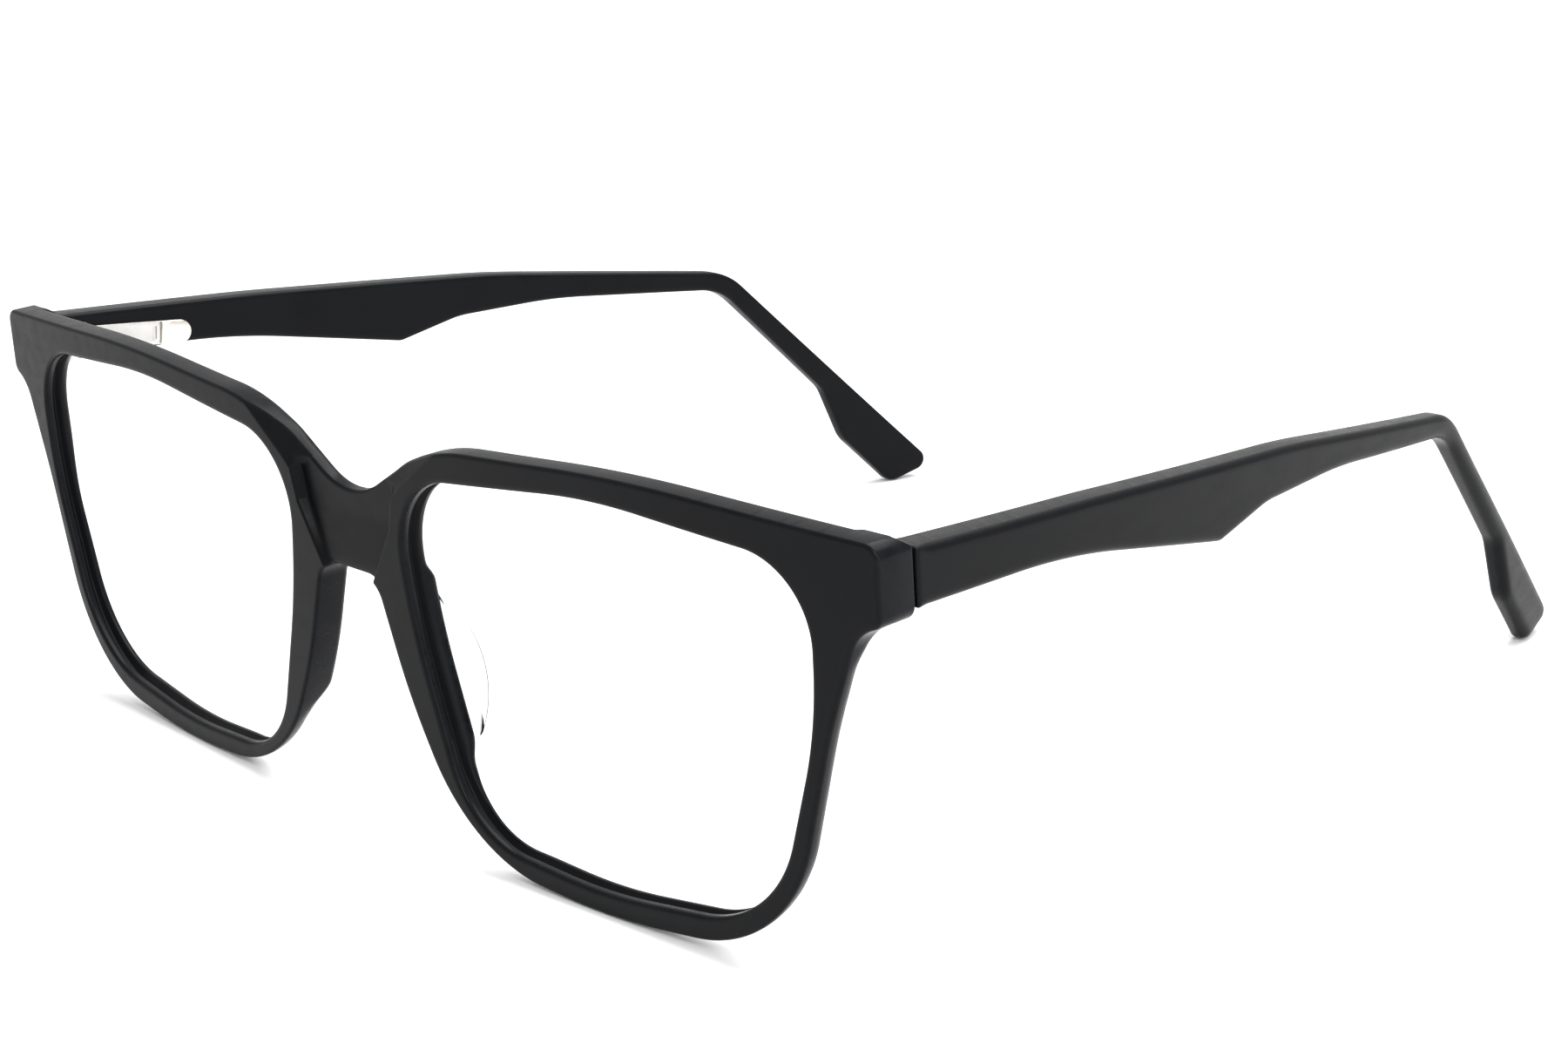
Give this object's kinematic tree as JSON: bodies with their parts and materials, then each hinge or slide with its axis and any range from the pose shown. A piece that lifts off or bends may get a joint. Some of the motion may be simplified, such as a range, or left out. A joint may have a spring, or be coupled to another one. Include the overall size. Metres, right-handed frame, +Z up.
{
  "type": "eyeglasses frame",
  "caption": "Satin black acetate eyeglasses frame with rounded square rims, a recessed bridge, clear nose pads and folding arms on spring hinges.",
  "frame": {"origin": "middle of the base of the bounding box, on the table the open frame stands on", "axes": "+X to the wearer's left, -Y the way the front faces, +Y along the arms to their tips, +Z up"},
  "size_m": [0.1436, 0.1339, 0.0443],
  "materials": {
    "front_acetate": "satin",
    "arm_acetate": "satin",
    "clear_pad": "polished clear",
    "wire_steel": "drawn",
    "hinge_steel": "satin",
    "screw_steel": "turned",
    "box_steel": "satin",
    "cap_steel": "polished",
    "slider_steel": "satin",
    "spring_steel": "drawn",
    "stop_steel": "turned"
  },
  "bodies": {
    "front": {"front": "front_acetate", "nose_pad_right": "clear_pad", "nose_pad_left": "clear_pad", "front_hinge_right": "hinge_steel", "front_hinge_left": "hinge_steel"},
    "screw_left": {"hinge_screw_left": "screw_steel"},
    "slider_left": {"slider_left": "slider_steel", "spring_stop_left": "stop_steel", "flex_spring_left": "spring_steel"},
    "temple_left": {"temple_left": "arm_acetate", "core_wire_left": "wire_steel", "spring_box_left": "box_steel", "box_cap_left": "cap_steel"},
    "screw_right": {"hinge_screw_right": "screw_steel"},
    "slider_right": {"slider_right": "slider_steel", "spring_stop_right": "stop_steel", "flex_spring_right": "spring_steel"},
    "temple_right": {"temple_right": "arm_acetate", "core_wire_right": "wire_steel", "spring_box_right": "box_steel", "box_cap_right": "cap_steel"}
  },
  "joints": [
    {"name": "flex_left", "type": "hinge", "parent": "front", "child": "screw_left", "pos_m": [0.0663, -0.05654, 0.03931], "axis": [0, 0.0384, -0.9993], "range_deg": [0, 5], "stiffness_Nm_per_rad": 0.3},
    {"name": "fold_left", "type": "hinge", "parent": "screw_left", "child": "slider_left", "pos_m": [0.0663, -0.05654, 0.03931], "axis": [0, -0.0384, 0.9993], "range_deg": [0, 83]},
    {"name": "slide_left", "type": "slide", "parent": "slider_left", "child": "temple_left", "axis": [-0.0544, 0.9937, -0.0976], "range_m": [0, 0.0005061], "deforming": ["flex_spring_left"]},
    {"name": "flex_right", "type": "hinge", "parent": "front", "child": "screw_right", "pos_m": [-0.0663, -0.05654, 0.03931], "axis": [0, -0.0384, 0.9993], "range_deg": [0, 5], "stiffness_Nm_per_rad": 0.3},
    {"name": "fold_right", "type": "hinge", "parent": "screw_right", "child": "slider_right", "pos_m": [-0.0663, -0.05654, 0.03931], "axis": [0, 0.0384, -0.9993], "range_deg": [0, 67]},
    {"name": "slide_right", "type": "slide", "parent": "slider_right", "child": "temple_right", "axis": [0.0544, 0.9937, -0.0976], "range_m": [0, 0.0005061], "deforming": ["flex_spring_right"]}
  ],
  "couplings": [
    {"joint": "slide_left", "follows": "flex_left", "m_per_rad": 0.0058},
    {"joint": "slide_right", "follows": "flex_right", "m_per_rad": 0.0058}
  ]
}
